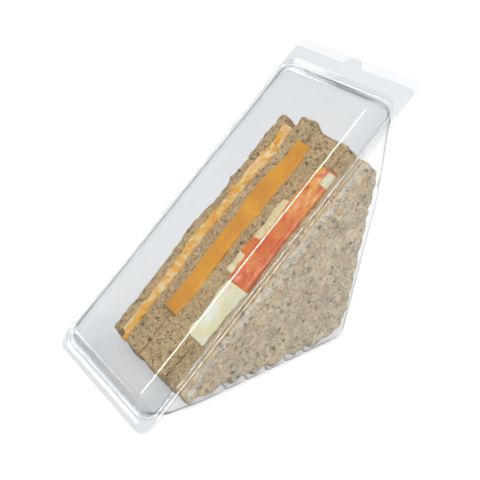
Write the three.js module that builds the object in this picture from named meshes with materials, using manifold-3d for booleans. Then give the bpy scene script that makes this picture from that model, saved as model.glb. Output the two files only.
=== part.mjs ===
// Sandwich wedge pack: a hinged clear wedge tray and lid, with a half sandwich of four slices of bread inside.
// Millimetres, +Z up. The pack stands on its base with its sloping window towards -Y.
// Origin: the middle of the bounding box on the surface that the pack stands on.

import * as THREE from 'three';
import { mergeVertices } from 'three/addons/utils/BufferGeometryUtils.js';
import Module from 'manifold-3d';

const wasm = await Module();
wasm.setup();

// Film and the gaps between pieces
const filmWall = 0.45;
const restGap = 0.3;
const cutOvershoot = 2;

// Sloping window plane. In the window frame X runs across, Y up the slope from the hinge and Z outwards.
const windowTilt = Math.PI / 4;

// Flange of the tray, with the opening tab at its top
const flangeLength = 200;
const flangeWidth = 83;
const flangeBottomRadius = 7;
const tabRadius = 4;

// Flange of the lid: shorter at the tab, with a tongue in the middle
const lidInset = 0.4;
const lidTabStep = 5.2;
const lidTabRadius = 2.5;
const tongueTopWidth = 4;
const tongueBaseWidth = 14;
const tongueInset = 0.6;

// Snap bead around the window, moulded in the tray and wrapped by the lid
const beadHeight = 1.2;
const beadBaseWidth = 2.3;
const beadTopWidth = 1;
const beadRadius = 8;
const beadSideInset = 2.6;
const beadToeInset = 5.3;
const beadTabInset = 14.2;

// Dome of the lid
const domeHeight = 7.5;
const domeSideSlope = 6.3;
const domeEndSlope = 4.4;
const domeTopRadius = 5;

// Neck and cavity of the tray
const neckBeadGap = 0.9;
const neckRadius = 9;
const sideDraft = 0.072;
const toeDraft = 0.33;
const headDraft = 0.1;

// Body of the tray, seen from the side, behind the hinge line
const backBottom = 131.3;
const backStepOut = 134.8;
const backStepIn = 133.6;
const backStepHeight = 88;
const backStepRise = 2.5;
const heelRadius = 10.5;
const edgeRounding = 4;

// Ribs across the base: rounded troughs with crests between them
const ribPitch = 13;
const ribCount = 5;
const firstCrest = 49;
const valleyFlat = 2.4;
const troughRadius = 5.9;

// Sandwich
const cutDepth = 8.6;
const breadToe = 24;
const breadHead = 163;
const outerBreadDrop = 1;
const innerBreadRise = 2;
const thirdBreadDrop = 1;
const lastBreadDrop = 4;
const breadTopDrop = 9;
const breadToeCut = 5;
const breadBackGap = 0.6;
const breadHeelRadius = 11;
const breadBevel = 1.5;
const wallGap = 0.5;
const sandwichLeft = -27;
const firstBreadThickness = 6.3;
const spreadThickness = 5.8;
const secondBreadThickness = 8;
const slabThickness = 9.8;
const thirdBreadThickness = 12.2;
const fillingThickness = 11.6;
const spreadInset = 1.2;
const spreadDrop = 5;
const slabToe = 50;
const slabLength = 103;
const slabRecess = 2.6;
const eggToe = 46;
const fillingLength = 100;
const fillingDepth = 34;
const salmonStart = 31.5;
const salmonDepth = 17;
const creamStart = 35;
const creamLength = 43;
const creamThickness = 5;
const creamDepth = 11;
const scrapStart = 11;
const scrapLength = 9;
const scrapThickness = 4;
const scrapDepth = 3.5;
const eggBitDrop = 1;
const eggBitLength = 7;
const eggBitThickness = 4.5;
const eggBitDepth = 3.5;

// Segments of the round stretches
const arcSegments = 3;
const bevelSegments = 2;

const film = { color: 0xe3e8ec, roughness: 0.08, metalness: 0, transparent: true, opacity: 0.35 };
const crumb = { color: 0xb9a082, roughness: 0.9, metalness: 0 };

const halfFlange = flangeWidth / 2;
const slabHead = slabToe + slabLength;
const salmonToe = eggToe + salmonStart;
const salmonHead = eggToe + fillingLength;
const creamToe = eggToe + creamStart;
const creamHead = creamToe + creamLength;
const scrapToe = creamToe + scrapStart;
const scrapHead = scrapToe + scrapLength;
const eggBitHead = salmonHead - eggBitDrop;
const eggBitToe = eggBitHead - eggBitLength;
const cosTilt = Math.cos(windowTilt);
const sinTilt = Math.sin(windowTilt);

// A point of the side view, (y, z), from its place up the slope and outwards from the flange plane
function slopePoint(up, out) {
  return new THREE.Vector2(up * cosTilt - out * sinTilt, up * sinTilt + out * cosTilt);
}

// How far outwards from the flange plane a point of the side view lies
function outwardOf(y, z) {
  return z * cosTilt - y * sinTilt;
}

function toManifold(geometry) {
  const bare = geometry.clone();
  bare.deleteAttribute('normal');
  bare.deleteAttribute('uv');
  const merged = mergeVertices(bare, 1e-4);
  return new wasm.Manifold(new wasm.Mesh({
    numProp: 3,
    vertProperties: new Float32Array(merged.attributes.position.array),
    triVerts: new Uint32Array(merged.index.array),
  }));
}

function toGeometry(solid) {
  const mesh = solid.getMesh();
  const geometry = new THREE.BufferGeometry();
  geometry.setAttribute('position', new THREE.BufferAttribute(new Float32Array(mesh.vertProperties), 3));
  geometry.setIndex(Array.from(mesh.triVerts));
  return geometry;
}

function moveVertices(geometry, move) {
  const position = geometry.attributes.position;
  const point = new THREE.Vector3();
  for (let index = 0; index < position.count; index += 1) {
    point.fromBufferAttribute(position, index);
    move(point);
    position.setXYZ(index, point.x, point.y, point.z);
  }
  return geometry;
}

// Outline in the window frame with its own radius at the toe end and at the head end
function roundedOutline(half, toe, head, toeRadius, headRadius) {
  const shape = new THREE.Shape();
  shape.absarc(-half + toeRadius, toe + toeRadius, toeRadius, Math.PI, 1.5 * Math.PI);
  shape.absarc(half - toeRadius, toe + toeRadius, toeRadius, 1.5 * Math.PI, 2 * Math.PI);
  shape.absarc(half - headRadius, head - headRadius, headRadius, 0, 0.5 * Math.PI);
  shape.absarc(-half + headRadius, head - headRadius, headRadius, 0.5 * Math.PI, Math.PI);
  shape.closePath();
  return shape;
}

// Extrudes an outline of the window frame outwards, from one depth to another
function plate(outline, from, to) {
  const geometry = new THREE.ExtrudeGeometry(outline, {
    depth: to - from,
    bevelEnabled: false,
    curveSegments: arcSegments,
  });
  return geometry.translate(0, 0, from);
}

// A frustum between two rounded outlines: the top is drawn in by its own slope at the sides and at the ends
function frustum(base, sideSlope, endSlope, from, to) {
  const outline = roundedOutline(base.half, base.toe, base.head, base.radius, base.radius);
  const midUp = (base.toe + base.head) / 2;
  const halfUp = (base.head - base.toe) / 2;
  const cornerX = base.half - base.radius;
  const cornerUp = halfUp - base.radius;
  const radiusLeft = base.topRadius / base.radius;
  return moveVertices(plate(outline, from, to), (point) => {
    if (point.z < (from + to) / 2) return;
    const up = point.y - midUp;
    const overX = Math.max(Math.abs(point.x) - cornerX, 0);
    const overUp = Math.max(Math.abs(up) - cornerUp, 0);
    const topCornerX = base.half - sideSlope - base.topRadius;
    const topCornerUp = halfUp - endSlope - base.topRadius;
    point.x = Math.sign(point.x) * (topCornerX + overX * radiusLeft);
    point.y = midUp + Math.sign(up) * (topCornerUp + overUp * radiusLeft);
  });
}

// Bead ring of the window frame: an outer frustum less an inner one that widens as it rises
function beadRing(offset, from, top) {
  const slope = (beadBaseWidth - beadTopWidth) / 2;
  const outer = {
    half: halfFlange - beadSideInset + beadBaseWidth / 2 + offset,
    toe: beadToeInset - beadBaseWidth / 2 - offset,
    head: flangeLength - beadTabInset + beadBaseWidth / 2 + offset,
    radius: beadRadius + beadBaseWidth / 2 + offset,
    topRadius: beadRadius + beadTopWidth / 2 + offset,
  };
  const inner = {
    half: outer.half - beadBaseWidth - 2 * offset,
    toe: outer.toe + beadBaseWidth + 2 * offset,
    head: outer.head - beadBaseWidth - 2 * offset,
    radius: outer.radius - beadBaseWidth - 2 * offset,
    topRadius: outer.topRadius - beadTopWidth - 2 * offset,
  };
  const ring = toManifold(frustum(outer, slope, slope, from, top));
  const hole = toManifold(frustum(inner, -slope, -slope, from, top + restGap));
  return ring.subtract(hole);
}

// Lid: flange with its tongue, bead and dome, all of one film wall
function buildLid() {
  const underside = restGap;
  const topside = underside + filmWall;
  const half = halfFlange - lidInset;
  const head = flangeLength - lidTabStep;
  const toe = filmWall + restGap;
  const outline = roundedOutline(half, toe, head, flangeBottomRadius, lidTabRadius);
  const tongue = new THREE.Shape();
  tongue.moveTo(-tongueBaseWidth / 2, head - lidTabRadius);
  tongue.lineTo(tongueBaseWidth / 2, head - lidTabRadius);
  tongue.lineTo(tongueBaseWidth / 2, head);
  tongue.quadraticCurveTo(tongueTopWidth, head, tongueTopWidth / 2, flangeLength - tongueInset);
  tongue.lineTo(-tongueTopWidth / 2, flangeLength - tongueInset);
  tongue.quadraticCurveTo(-tongueTopWidth, head, -tongueBaseWidth / 2, head);
  tongue.closePath();
  const slack = restGap + filmWall;
  const beadInside = (beadBaseWidth / 2) + slack;
  const domeBase = {
    half: halfFlange - beadSideInset - beadInside,
    toe: beadToeInset + beadInside,
    head: flangeLength - beadTabInset - beadInside,
    radius: beadRadius - beadInside,
    topRadius: domeTopRadius,
  };
  const innerBase = {
    half: domeBase.half - filmWall,
    toe: domeBase.toe + filmWall,
    head: domeBase.head - filmWall,
    radius: domeBase.radius - filmWall,
    topRadius: domeBase.topRadius - filmWall,
  };
  const outside = toManifold(plate(outline, underside, topside))
    .add(toManifold(plate(tongue, underside, topside)))
    .add(beadRing(slack, underside, beadHeight + slack))
    .add(toManifold(frustum(domeBase, domeSideSlope, domeEndSlope, underside, domeHeight)));
  const inside = beadRing(restGap, underside - cutOvershoot, beadHeight + restGap)
    .add(toManifold(frustum(innerBase, domeSideSlope, domeEndSlope, underside, domeHeight - filmWall)))
    .add(toManifold(plate(roundedOutline(innerBase.half, innerBase.toe, innerBase.head, innerBase.radius,
      innerBase.radius), underside - cutOvershoot, underside + filmWall / 2)));
  return toGeometry(outside.subtract(inside)).rotateX(windowTilt);
}

// Half width of the inside of the tray at a place outwards from the flange plane
function cavityHalf(out) {
  return halfFlange - beadSideInset - beadBaseWidth / 2 - neckBeadGap + sideDraft * Math.min(out, 0);
}

// Turns a side-view outline, extruded, so that its outline lies in Y and Z and its depth in X
function layAcross(geometry) {
  const turn = new THREE.Matrix4().set(0, 0, 1, 0, 1, 0, 0, 0, 0, 1, 0, 0, 0, 0, 0, 1);
  return geometry.applyMatrix4(turn);
}

// Side outline of the tray, drawn in by the film wall for the inside
function sideOutline(inset) {
  const reach = 3 * edgeRounding;
  const shape = new THREE.Shape();
  shape.moveTo(-reach + 2 * inset, inset);
  shape.lineTo(backBottom - heelRadius, inset);
  shape.absarc(backBottom - heelRadius, heelRadius, heelRadius - inset, -0.5 * Math.PI, 0);
  shape.lineTo(backStepOut - inset, backStepHeight);
  shape.lineTo(backStepIn - inset, backStepHeight + backStepRise);
  shape.lineTo(backStepIn - inset, backStepIn + reach);
  shape.closePath();
  return shape;
}

// Wedge with rounded long edges, its sides drawn in with depth by the draft
function wedge(inset) {
  const rounding = edgeRounding - inset;
  const half = cavityHalf(0) + filmWall - inset;
  const geometry = new THREE.ExtrudeGeometry(sideOutline(inset), {
    depth: 2 * (half - rounding),
    bevelEnabled: true,
    bevelThickness: rounding,
    bevelSize: rounding,
    bevelOffset: -rounding,
    bevelSegments,
    curveSegments: arcSegments,
  });
  geometry.translate(0, 0, -(half - rounding));
  return moveVertices(layAcross(geometry), (point) => {
    const draft = sideDraft * Math.min(outwardOf(point.y, point.z), 0);
    point.x += Math.sign(point.x) * draft;
  });
}

// Well that the mould draws from the window: its ends lean in, and its corners are round
function well(inset, top) {
  const half = cavityHalf(0) + filmWall - inset;
  const toe = beadToeInset + beadBaseWidth / 2 + neckBeadGap - filmWall + inset;
  const head = flangeLength - beadTabInset - beadBaseWidth / 2 - neckBeadGap + filmWall - inset;
  const depth = backBottom;
  const outline = roundedOutline(half, toe, head, neckRadius - inset, neckRadius - inset);
  const geometry = moveVertices(plate(outline, -depth, top), (point) => {
    const down = -Math.min(point.z, 0);
    const share = (point.y - toe) / (head - toe);
    point.y += down * (toeDraft * (1 - share) - headDraft * share);
    point.x *= 1 - (sideDraft * down) / half;
  });
  return geometry.rotateX(windowTilt);
}

// Space between two troughs, under a crest
function crestOutline(centre, inset) {
  const reachAcross = (ribPitch - valleyFlat) / 2;
  const radius = troughRadius - inset;
  const rise = Math.sqrt(radius * radius - reachAcross * reachAcross);
  const swing = Math.atan2(reachAcross, rise);
  const shape = new THREE.Shape();
  shape.moveTo(centre - reachAcross, inset - cutOvershoot);
  shape.lineTo(centre - reachAcross, inset);
  shape.absarc(centre - reachAcross, troughRadius, radius, -0.5 * Math.PI, -0.5 * Math.PI + swing);
  shape.absarc(centre + reachAcross, troughRadius, radius, -0.5 * Math.PI - swing, -0.5 * Math.PI);
  shape.lineTo(centre + reachAcross, inset - cutOvershoot);
  shape.closePath();
  return shape;
}

function ribs(inset) {
  const solids = [];
  for (let index = 0; index < ribCount; index += 1) {
    const geometry = new THREE.ExtrudeGeometry(crestOutline(firstCrest + index * ribPitch, inset), {
      depth: flangeWidth,
      bevelEnabled: false,
      curveSegments: arcSegments,
    });
    geometry.translate(0, 0, -halfFlange);
    solids.push(toManifold(layAcross(geometry)));
  }
  return solids.reduce((all, solid) => all.add(solid));
}

// Tray: flange, bead and wedge body, all of one film wall
function buildTray() {
  const outline = roundedOutline(halfFlange, filmWall, flangeLength, flangeBottomRadius, tabRadius);
  const flange = toManifold(plate(outline, -filmWall, 0).rotateX(windowTilt));
  const bead = toManifold(toGeometry(beadRing(0, -filmWall, beadHeight)).rotateX(windowTilt));
  const beadInside = toManifold(toGeometry(beadRing(-filmWall, -filmWall - cutOvershoot, beadHeight - filmWall))
    .rotateX(windowTilt));
  const body = toManifold(wedge(0)).intersect(toManifold(well(0, 0))).subtract(ribs(0));
  const cavity = toManifold(wedge(filmWall)).intersect(toManifold(well(filmWall, cutOvershoot)))
    .subtract(ribs(filmWall));
  return toGeometry(flange.add(bead).add(body).subtract(cavity).subtract(beadInside));
}

// Height at which the inside of the base carries the bread
function crestTop() {
  const reachAcross = (ribPitch - valleyFlat) / 2;
  const radius = troughRadius - filmWall;
  return troughRadius - Math.sqrt(radius * radius - reachAcross * reachAcross);
}

// Side outline of the sandwich, drawn in all round but at its cut face
function sandwichOutline(inset, head) {
  const floor = crestTop() + restGap + inset;
  const back = backBottom - filmWall - breadBackGap - inset;
  const toe = slopePoint(breadToe + 2 * inset, -cutDepth);
  const top = slopePoint(head - inset, -cutDepth);
  const shape = new THREE.Shape();
  shape.moveTo(toe.x, toe.y);
  shape.lineTo(toe.x + breadToeCut, floor);
  shape.lineTo(back - breadHeelRadius, floor);
  shape.absarc(back - breadHeelRadius, floor + breadHeelRadius, breadHeelRadius, -0.5 * Math.PI, 0);
  shape.lineTo(back, top.y - breadTopDrop);
  shape.lineTo(top.x, top.y);
  shape.closePath();
  return shape;
}

// Block between two places on the cut face, reaching back by a depth along both legs
function blockOutline(toe, head, depth) {
  const low = slopePoint(toe, -cutDepth);
  const high = slopePoint(head, -cutDepth);
  const shape = new THREE.Shape();
  shape.moveTo(low.x, low.y);
  shape.lineTo(low.x + depth, low.y);
  shape.lineTo(high.x, high.y - depth);
  shape.lineTo(high.x, high.y);
  shape.closePath();
  return shape;
}

// Right-angled slab whose long side lies in the cut face
function slabOutline(toe, head) {
  const low = slopePoint(toe, -cutDepth);
  const high = slopePoint(head, -cutDepth);
  const shape = new THREE.Shape();
  shape.moveTo(low.x, low.y);
  shape.lineTo(high.x, low.y);
  shape.lineTo(high.x, high.y);
  shape.closePath();
  return shape;
}

function across(outline, left, right) {
  const geometry = new THREE.ExtrudeGeometry(outline, {
    depth: right - left,
    bevelEnabled: false,
    curveSegments: arcSegments,
  });
  geometry.translate(0, 0, left);
  return layAcross(geometry);
}

// Bread slice with its long edges rounded
function slice(outline, left, right) {
  const geometry = new THREE.ExtrudeGeometry(outline, {
    depth: right - left - 2 * breadBevel,
    bevelEnabled: true,
    bevelThickness: breadBevel,
    bevelSize: breadBevel,
    bevelOffset: -breadBevel,
    bevelSegments,
    curveSegments: arcSegments,
  });
  geometry.translate(0, 0, left + breadBevel);
  return layAcross(geometry);
}

// Makes room for a filling, with the rest gap all round and open at the cut face
function pocket(toe, head, left, right, depth) {
  const low = slopePoint(toe, -cutDepth);
  const high = slopePoint(head, -cutDepth);
  const shape = new THREE.Shape();
  shape.moveTo(low.x - cutOvershoot, low.y - restGap);
  shape.lineTo(low.x + depth + restGap, low.y - restGap);
  shape.lineTo(high.x + restGap, high.y - depth - restGap);
  shape.lineTo(high.x + restGap, high.y + cutOvershoot);
  shape.closePath();
  return toManifold(across(shape, left - restGap, right + restGap));
}

// Room for the slab, whose lower end stands back from the bread
function slabPocket(left, right) {
  const low = slopePoint(slabToe - slabRecess, -cutDepth);
  const high = slopePoint(slabHead, -cutDepth);
  const shape = new THREE.Shape();
  shape.moveTo(low.x - cutOvershoot, low.y - restGap);
  shape.lineTo(high.x + restGap, low.y - restGap);
  shape.lineTo(high.x + restGap, high.y + cutOvershoot);
  shape.closePath();
  return toManifold(across(shape, left - restGap, right + restGap));
}

// Layers of the sandwich, from left to right
const spreadLeft = sandwichLeft + firstBreadThickness + restGap;
const secondLeft = spreadLeft + spreadThickness + restGap;
const slabLeft = secondLeft + secondBreadThickness + restGap;
const slabRight = slabLeft + slabThickness;
const pinch = (slabLeft + slabRight) / 2;
const thirdRight = slabRight + restGap + thirdBreadThickness;
const fillingLeft = thirdRight + restGap;
const fillingRight = fillingLeft + fillingThickness;
const fillingPinch = (fillingLeft + fillingRight) / 2;
const creamRight = thirdRight;
const creamLeft = creamRight - creamThickness;

function firstBread() {
  return slice(sandwichOutline(0, breadHead - outerBreadDrop), sandwichLeft, sandwichLeft + firstBreadThickness);
}

function spreadLayer() {
  return across(sandwichOutline(spreadInset, breadHead - spreadDrop), spreadLeft, spreadLeft + spreadThickness);
}

function secondBread() {
  const block = toManifold(slice(sandwichOutline(0, breadHead + innerBreadRise), secondLeft, pinch - restGap / 2));
  return toGeometry(block.subtract(slabPocket(slabLeft, slabRight)));
}

function slab() {
  return across(slabOutline(slabToe, slabHead), slabLeft, slabRight);
}

function thirdBread() {
  const outline = sandwichOutline(0, breadHead - thirdBreadDrop);
  const block = toManifold(slice(outline, pinch + restGap / 2, fillingPinch - restGap / 2));
  return toGeometry(block
    .subtract(slabPocket(slabLeft, slabRight))
    .subtract(pocket(eggToe, salmonHead, fillingLeft, fillingRight, fillingDepth))
    .subtract(pocket(creamToe, creamHead, creamLeft, creamRight, creamDepth)));
}

function eggSlices() {
  const block = toManifold(across(blockOutline(eggToe, salmonHead, fillingDepth), fillingLeft, fillingRight));
  const room = pocket(salmonToe, salmonHead + cutOvershoot, fillingLeft, fillingRight, salmonDepth);
  return toGeometry(block.subtract(room));
}

function salmonSlice() {
  const block = toManifold(across(blockOutline(salmonToe, salmonHead, salmonDepth), fillingLeft, fillingRight));
  const room = pocket(eggBitToe, eggBitHead, fillingRight - eggBitThickness, fillingRight, eggBitDepth);
  return toGeometry(block.subtract(room));
}

function creamFilling() {
  const block = toManifold(across(blockOutline(creamToe, creamHead, creamDepth), creamLeft, creamRight));
  const room = pocket(scrapToe, scrapHead, creamRight - scrapThickness, creamRight, scrapDepth);
  return toGeometry(block.subtract(room));
}

function salmonScrap() {
  return across(blockOutline(scrapToe, scrapHead, scrapDepth), creamRight - scrapThickness, creamRight);
}

function eggBit() {
  return across(blockOutline(eggBitToe, eggBitHead, eggBitDepth), fillingRight - eggBitThickness, fillingRight);
}

// Last slice: its outer face leans along the wall of the tray
function fourthBread() {
  const left = fillingPinch + restGap / 2;
  const right = cavityHalf(0) - wallGap;
  const leaning = moveVertices(slice(sandwichOutline(0, breadHead - lastBreadDrop), left, right), (point) => {
    if (point.x < (left + right) / 2) return;
    point.x += sideDraft * Math.min(outwardOf(point.y, point.z), 0);
  });
  return toGeometry(toManifold(leaning)
    .subtract(pocket(eggToe, salmonHead, fillingLeft, fillingRight, fillingDepth)));
}

const pack = new THREE.Group();

function addPiece(name, geometry, finish) {
  const material = new THREE.MeshStandardMaterial(finish);
  const mesh = new THREE.Mesh(geometry, material);
  mesh.name = name;
  pack.add(mesh);
}

addPiece('tray', buildTray(), film);
addPiece('lid', buildLid(), film);
addPiece('bread_slice_1', firstBread(), crumb);
addPiece('cheese_spread', spreadLayer(), { color: 0xf0a540, roughness: 0.6, metalness: 0 });
addPiece('bread_slice_2', secondBread(), crumb);
addPiece('cheddar_slab', slab(), { color: 0xdc961e, roughness: 0.45, metalness: 0 });
addPiece('bread_slice_3', thirdBread(), crumb);
addPiece('cream_filling', creamFilling(), { color: 0xeae0c0, roughness: 0.5, metalness: 0 });
addPiece('salmon_scrap', salmonScrap(), { color: 0xe0701e, roughness: 0.4, metalness: 0 });
addPiece('egg_slices', eggSlices(), { color: 0xebe3c4, roughness: 0.4, metalness: 0 });
addPiece('salmon_slice', salmonSlice(), { color: 0xd75f32, roughness: 0.35, metalness: 0 });
addPiece('egg_bit', eggBit(), { color: 0xf5f0dc, roughness: 0.4, metalness: 0 });
addPiece('bread_slice_4', fourthBread(), crumb);

// Centres the pack over the origin: the hinge edge is in front and the tab leans over the back
const box = new THREE.Box3().setFromObject(pack);
pack.position.set(0, -(box.min.y + box.max.y) / 2, 0);

export default pack;
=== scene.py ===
"""Dresses the sandwich wedge pack: clear moulded film round wholemeal bread, cheese, egg and salmon."""
import logging
import math
import random
from dataclasses import astuple, dataclass
from enum import Enum
from typing import Callable

import bmesh
import bpy
from mathutils import Matrix, Vector, noise


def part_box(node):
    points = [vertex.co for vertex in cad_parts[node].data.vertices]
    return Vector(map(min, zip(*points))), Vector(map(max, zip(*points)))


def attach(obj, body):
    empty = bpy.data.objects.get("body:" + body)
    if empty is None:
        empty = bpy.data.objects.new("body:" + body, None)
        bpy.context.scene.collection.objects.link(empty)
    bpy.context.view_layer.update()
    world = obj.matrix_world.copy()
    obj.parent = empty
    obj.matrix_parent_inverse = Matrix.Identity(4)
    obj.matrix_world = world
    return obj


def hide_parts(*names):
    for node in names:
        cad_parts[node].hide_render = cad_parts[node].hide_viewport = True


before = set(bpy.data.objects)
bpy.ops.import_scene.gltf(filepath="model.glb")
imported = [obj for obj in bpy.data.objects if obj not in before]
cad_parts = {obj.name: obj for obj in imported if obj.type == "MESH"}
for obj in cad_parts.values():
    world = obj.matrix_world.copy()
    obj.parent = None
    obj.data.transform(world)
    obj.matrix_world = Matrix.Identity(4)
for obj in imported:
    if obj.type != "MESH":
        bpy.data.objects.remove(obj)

# Sizes are in millimetres, and MM turns them into metres.
MM = 0.001
DIAGONAL = math.sqrt(0.5)
CUT_SIDE = Vector((0, -DIAGONAL, DIAGONAL))
WHITE = (1, 1, 1, 1)
TINY = 1e-6
MOST_EASED = 0.49
MERGE = 0.01 * MM
# Sets where noise_vector starts. Without it the start follows the clock, and every run gives other shapes.
NOISE_SEED = 389
log = logging.getLogger("wedge_pack")


class Body(Enum):
    """Bodies of the frame that pieces ride on."""

    TRAY = "tray"
    LID = "lid"


class Slot(Enum):
    """Material slots of the record."""

    FILM = "clear_film"
    BREAD = "bread"
    SPREAD = "cheese_spread"
    CHEDDAR = "cheddar"
    CREAM = "cream"
    SALMON = "salmon"
    EGG = "egg"


# Places in the pack


def ramp(value: float, low: float, high: float) -> float:
    """Rises smoothly from 0 at low to 1 at high; low may be the greater one."""
    share = min(max((value - low) / (high - low), 0.0), 1.0)
    return share * share * (3 - 2 * share)


def sloped(behind: float, height: float) -> tuple[float, float]:
    """Turns a distance behind the hinge and a height into up and out in the window frame."""
    return DIAGONAL * (behind + height), DIAGONAL * (height - behind)


@dataclass(frozen=True)
class WindowFrame:
    """The sloping window plane: across, up the slope from the hinge, and outwards, all in millimetres."""

    hinge_y: float

    def point(self, across: float, up: float, out: float) -> Vector:
        """Turns a place in the window frame into metres in the pack's frame.

        Args:
            across: distance to the right.
            up: distance up the slope from the hinge.
            out: distance outwards from the flange plane.

        Returns:
            The point in metres.
        """
        y = DIAGONAL * (up - out) + self.hinge_y
        z = DIAGONAL * (up + out)
        return Vector((across, y, z)) * MM

    def place(self, point: Vector) -> tuple[float, float, float]:
        """Turns a point in metres into a place in the window frame.

        Args:
            point: point in the pack's frame.

        Returns:
            Across, up and out in millimetres.
        """
        x, y, z = point / MM
        return (x, *sloped(y - self.hinge_y, z))


def window_frame() -> WindowFrame:
    """Finds the hinge line: the tray's highest point is the tab's end, one flange length up the slope."""
    low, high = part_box("tray")
    return WindowFrame(hinge_y=(high[1] - high[2]) / MM)


# Meshes


def from_bmesh(name: str, shape: bmesh.types.BMesh) -> bpy.types.Object:
    """Turns a bmesh into a smooth object at the origin and frees it.

    Args:
        name: name of the object.
        shape: the bmesh.

    Returns:
        The object, linked to the scene.
    """
    mesh = bpy.data.meshes.new(name)
    shape.to_mesh(mesh)
    shape.free()
    mesh.shade_smooth()
    piece = bpy.data.objects.new(name, mesh)
    bpy.context.scene.collection.objects.link(piece)
    return piece


def applied(piece: bpy.types.Object) -> bpy.types.Object:
    """Applies a piece's modifiers to its mesh.

    Args:
        piece: object with live modifiers.

    Returns:
        The same object with a plain mesh.
    """
    graph = bpy.context.evaluated_depsgraph_get()
    graph.update()
    mesh = bpy.data.meshes.new_from_object(piece.evaluated_get(graph))
    piece.modifiers.clear()
    old = piece.data
    piece.data = mesh
    bpy.data.meshes.remove(old)
    return piece


def remeshed(name: str, node: str, voxel: float, soft: int) -> bpy.types.Object:
    """Copies a solid of the frame as an even voxel mesh with softened edges, ready to be sculpted.

    Args:
        name: name of the new piece.
        node: the solid's node.
        voxel: voxel size in millimetres.
        soft: how many times the edges are softened.

    Returns:
        The new piece.
    """
    shape = bmesh.new()
    shape.from_mesh(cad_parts[node].data)
    bmesh.ops.remove_doubles(shape, verts=shape.verts, dist=MERGE)
    piece = from_bmesh(name, shape)
    remesh = piece.modifiers.new("voxels", "REMESH")
    remesh.mode = "VOXEL"
    remesh.voxel_size = voxel * MM
    remesh.use_smooth_shade = True
    applied(piece)
    piece.modifiers.new("soften", "SMOOTH").iterations = soft
    return applied(piece)


def sculpt(piece: bpy.types.Object, move: Callable[[Vector, Vector], Vector]) -> None:
    """Moves every vertex of a piece.

    Args:
        piece: the piece.
        move: gives the new place from a vertex's place and normal.
    """
    mesh = piece.data
    places = [move(vertex.co.copy(), vertex.normal.copy()) for vertex in mesh.vertices]
    for vertex, place in zip(mesh.vertices, places):
        vertex.co = place
    mesh.update()


def paint(piece: bpy.types.Object, name: str, value: Callable[[Vector, Vector], float]) -> None:
    """Stores a number on every vertex for the materials to read.

    Args:
        piece: the piece.
        name: attribute name.
        value: gives the number from a vertex's place and normal.
    """
    mesh = piece.data
    layer = mesh.attributes.new(name, "FLOAT", "POINT")
    layer.data.foreach_set("value", [value(vertex.co, vertex.normal) for vertex in mesh.vertices])


# Shader maths


class Value:
    """A number or colour socket that takes part in sums."""

    def __init__(self, graph: "Graph", socket: bpy.types.NodeSocket) -> None:
        """Wraps a socket of a graph."""
        self.graph = graph
        self.socket = socket

    def maths(self, operation: str, *others: "Value | float") -> "Value":
        """Adds a Math node that starts from this value."""
        inputs = {index + 1: other for index, other in enumerate(others)}
        return self.graph.value("ShaderNodeMath", {"operation": operation}, {0: self, **inputs})

    def __add__(self, other: "Value | float") -> "Value":
        """Sum."""
        return self.maths("ADD", other)

    __radd__ = __add__

    def __mul__(self, other: "Value | float") -> "Value":
        """Product."""
        return self.maths("MULTIPLY", other)

    __rmul__ = __mul__

    def __sub__(self, other: "Value | float") -> "Value":
        """Difference."""
        return self.maths("SUBTRACT", other)

    def __rsub__(self, other: float) -> "Value":
        """Difference from a plain number."""
        return (self * -1) + other

    def __pow__(self, other: float) -> "Value":
        """Power."""
        return self.maths("POWER", other)

    def over(self, low: float, high: float) -> "Value":
        """Maps this value smoothly from 0 at low to 1 at high."""
        inputs = {"Value": self, "From Min": low, "From Max": high}
        return self.graph.value("ShaderNodeMapRange", {"interpolation_type": "SMOOTHSTEP"}, inputs)


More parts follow.
